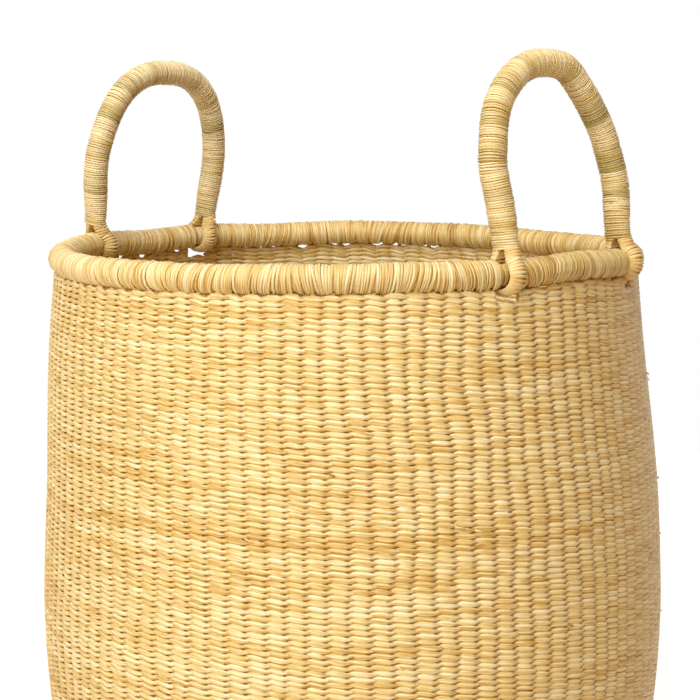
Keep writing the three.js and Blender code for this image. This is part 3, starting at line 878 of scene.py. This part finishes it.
def leg_line():
    """Course of an outer leg, out from and up from the hinge line, with half its thickness."""
    around = np.radians(np.linspace(LEG_SHOULDER, LEG_END, LEG_STEPS))
    thinning = smoothed((around - np.pi / 2) / (np.pi / 2))
    thickness = (LEG_BULK + (LEG_END_BULK - LEG_BULK) * thinning) / 2
    reach = LEG_BORE + thickness
    top = np.array([[HANDLE_RADIUS / 2, fork_height + LEG_STARTS]])
    course = np.concatenate([top, np.stack([reach * np.sin(around), reach * np.cos(around)], 1)])
    thickness = np.concatenate([[HANDLE_RADIUS / 2], thickness])
    places = np.concatenate([[0], np.cumsum(np.linalg.norm(np.diff(course, axis=0), axis=1))])
    return course, thickness, places


leg_course, leg_thickness, leg_places = leg_line()
leg_grass = dried_grass(
    "leg_wrapping_straw", "#FEECB8", "#F4D48C", "#DFB25E", "#A67634", FINE_FIBRE, streak=1.2, patch=0.2
)
draw = np.random.default_rng(51)
for joint in frame["joints"]:
    side = joint["child"].removesuffix("_handle")
    hinge, out, along, up = handle_axes(joint)
    for end in (-1, 1):
        foot = hinge + end * FOOT_HALF_SPACING * along
        foot_name = "front" if foot[1] < hinge[1] else "back"
        for leg_side, leg_name in ((1, "outer"), (-1, "inner")):
            turn = np.linspace(0, LEG_TURNS, LEG_TURNS * LEG_TURN_STEPS + 1)
            knots = np.arange(-1, LEG_TURNS + 2, 0.5)
            slip = np.interp(turn, knots, draw.normal(0, LEG_SLIP, len(knots)))
            pitch = leg_places[-1] / LEG_TURNS
            place = np.clip((turn + slip) * pitch, 0, leg_places[-1])
            line, slope = along_line(leg_course, leg_places, place)
            deep = np.interp(place, leg_places, leg_thickness)[:, None]
            wide = LEG_SPREAD / 2 * (LEG_NECK + (1 - LEG_NECK) * smoothed(place / LEG_NECK_LENGTH))[:, None]
            away = -slope[:, 1:] * out * leg_side + slope[:, :1] * up
            drawn = DRAWN_ASIDE[f"{side}_{foot_name}"] * np.sign(along[1])
            aside = drawn * smoothed(place / (leg_places[-1] / 2))
            middle = foot + line[:, :1] * out * leg_side + line[:, 1:] * up + aside[:, None] * along
            cosine, sine = np.cos(2 * np.pi * turn)[:, None], np.sin(2 * np.pi * turn)[:, None]
            outward = away * cosine / deep + along * sine / wide
            outward /= np.linalg.norm(outward, axis=1)[:, None]
            ridge = np.clip(outward @ KNOTTED_EDGE, 0, 1) ** 2
            inset = (LEG_STRAW_DEPTH / 2 + LEG_RIDGE * (0.5 - ridge))[:, None]
            skin = middle + away * (cosine - LEG_HUGS * sine**2) * deep + along * sine * wide
            wound = straw(
                skin - outward * inset,
                outward,
                pitch / 2 * (FLAT_STRAW[0] + (RIDGE_STRAW[0] - FLAT_STRAW[0]) * ridge),
                LEG_STRAW_DEPTH / 2 * (FLAT_STRAW[1] + (RIDGE_STRAW[1] - FLAT_STRAW[1]) * ridge),
                LEG_SIDES,
                LEG_RIPENESS + np.interp(turn, knots, draw.normal(0, LEG_TONE_UNEVEN, len(knots))),
                LEG_GREEN,
                LEG_STRAW_DEPTH * GROOVE_SHADE_HEIGHT,
                LEG_STRAW_DEPTH * (GROOVE_SHADE_HEIGHT + 0.5),
            )
            bed = slice(None, None, LEG_TURN_STEPS)
            bed_middle = middle[bed] - away[bed] * deep[bed] * LEG_HUGS / 3
            bundle = straw(
                bed_middle,
                away[bed],
                wide[bed, 0] * LEG_CORE_WIDTH,
                deep[bed, 0] * LEG_CORE_DEPTH,
                LEG_CORE_SIDES,
                LEG_CORE_RIPENESS,
                0,
                LEG_BULK,
                LEG_BULK,
            )
            node = f"{side}_{foot_name}_{leg_name}_leg"
            piece_name = f"{side}_{foot_name}_{leg_name}_leg_winding"
            lay_straws(piece_name, [wound, bundle], leg_grass, f"{side}_handle", [node])

# Studio
# A plain pale floor in front of white. A large softbox stands in front, to the left of the camera, a smaller
# one hangs above the front, and warm surroundings throw some light back into the shade.
FLOOR_RADIUS = 1.6
FLOOR_CORNERS = 96
FLOOR_COLOUR = "#DCCDB4"
FLOOR_ROUGHNESS = 0.9
FLOOR_GLOW = 0.85
SKY_LIGHT = 0.26
SKY_TINT = "#FFCA90"
WHITE = "#FFFFFF"
LIT_POINT = np.array([0, 0, 0.3])
SOFTBOXES = (  # name, power, size, place
    ("key_softbox", 33, 1.7, (0.29, -2.11, 1.25)),
    ("fill_softbox", 25, 1.2, (0.5, -0.9, 2.2)),
)


def add_seen(tree):
    """Output of a node that is 1 where the camera looks, also in a reflection, and 0 for light on its way."""
    path = add_node(tree, "ShaderNodeLightPath").outputs
    seen = add_node(
        tree, "ShaderNodeMath", {0: path["Is Camera Ray"], 1: path["Is Glossy Ray"]}, operation="ADD"
    )
    seen = add_node(
        tree, "ShaderNodeMath", {0: seen.outputs[0], 1: path["Is Transmission Ray"]}, operation="ADD"
    )
    return seen.outputs[0]


bpy.ops.object.select_all(action="DESELECT")
bpy.ops.mesh.primitive_circle_add(vertices=FLOOR_CORNERS, radius=FLOOR_RADIUS, fill_type="NGON")
floor = bpy.context.object
floor.name = "floor"
paint = bpy.data.materials.new("pale_floor_paint")
paint.use_nodes = True
tree = paint.node_tree
shader = tree.nodes["Principled BSDF"]
shader.inputs["Base Color"].default_value = linear(FLOOR_COLOUR)
shader.inputs["Roughness"].default_value = FLOOR_ROUGHNESS
glow = add_node(tree, "ShaderNodeMath", {0: add_seen(tree), 1: FLOOR_GLOW}, operation="MULTIPLY")
shader.inputs["Emission Color"].default_value = linear(WHITE)
tree.links.new(glow.outputs[0], shader.inputs["Emission Strength"])
floor.data.materials.append(paint)

world = bpy.data.worlds.new("white_studio")
bpy.context.scene.world = world
world.use_nodes = True
tree = world.node_tree
backdrop = tree.nodes["Background"]
seen = add_seen(tree)
strength = add_node(tree, "ShaderNodeMapRange", {"Value": seen, "To Min": SKY_LIGHT, "To Max": 1.0})
tint = add_node(
    tree, "ShaderNodeMixRGB", {"Fac": seen, "Color1": linear(SKY_TINT), "Color2": linear(WHITE)}
)
tree.links.new(tint.outputs["Color"], backdrop.inputs["Color"])
tree.links.new(strength.outputs["Result"], backdrop.inputs["Strength"])

for name, power, size, stands in SOFTBOXES:
    lamp = bpy.data.lights.new(name, "AREA")
    lamp.energy = power
    lamp.size = size
    softbox = bpy.data.objects.new(name, lamp)
    bpy.context.scene.collection.objects.link(softbox)
    softbox.location = stands
    towards = LIT_POINT - np.array(stands)
    tilt = math.atan2(math.hypot(towards[0], towards[1]), -towards[2])
    softbox.rotation_euler = (tilt, 0, math.atan2(-towards[0], towards[1]))

# Camera
# A long lens at the photograph's angle: from the right of the front, a hand's height above the rim, tilted
# down so that the picture ends below the belly.
CAMERA_DISTANCE = 1.2861
CAMERA_TURN = math.radians(40.25)
CAMERA_OVER_RIM = 0.1048
CAMERA_TILT = math.radians(7.761)
CAMERA_PAN = math.radians(0.1237)
LENS = 92.96
SENSOR_WIDTH = 36
view = bpy.data.cameras.new("camera")
view.lens = LENS
view.sensor_width = SENSOR_WIDTH
camera = bpy.data.objects.new("camera", view)
bpy.context.scene.collection.objects.link(camera)
camera.location = (
    CAMERA_DISTANCE * math.sin(CAMERA_TURN),
    -CAMERA_DISTANCE * math.cos(CAMERA_TURN),
    rim_height + CAMERA_OVER_RIM,
)
camera.rotation_euler = (math.pi / 2 - CAMERA_TILT, 0, CAMERA_TURN - CAMERA_PAN)
bpy.context.scene.camera = camera
bpy.context.scene.view_settings.view_transform = "Standard"

bpy.context.view_layer.update()
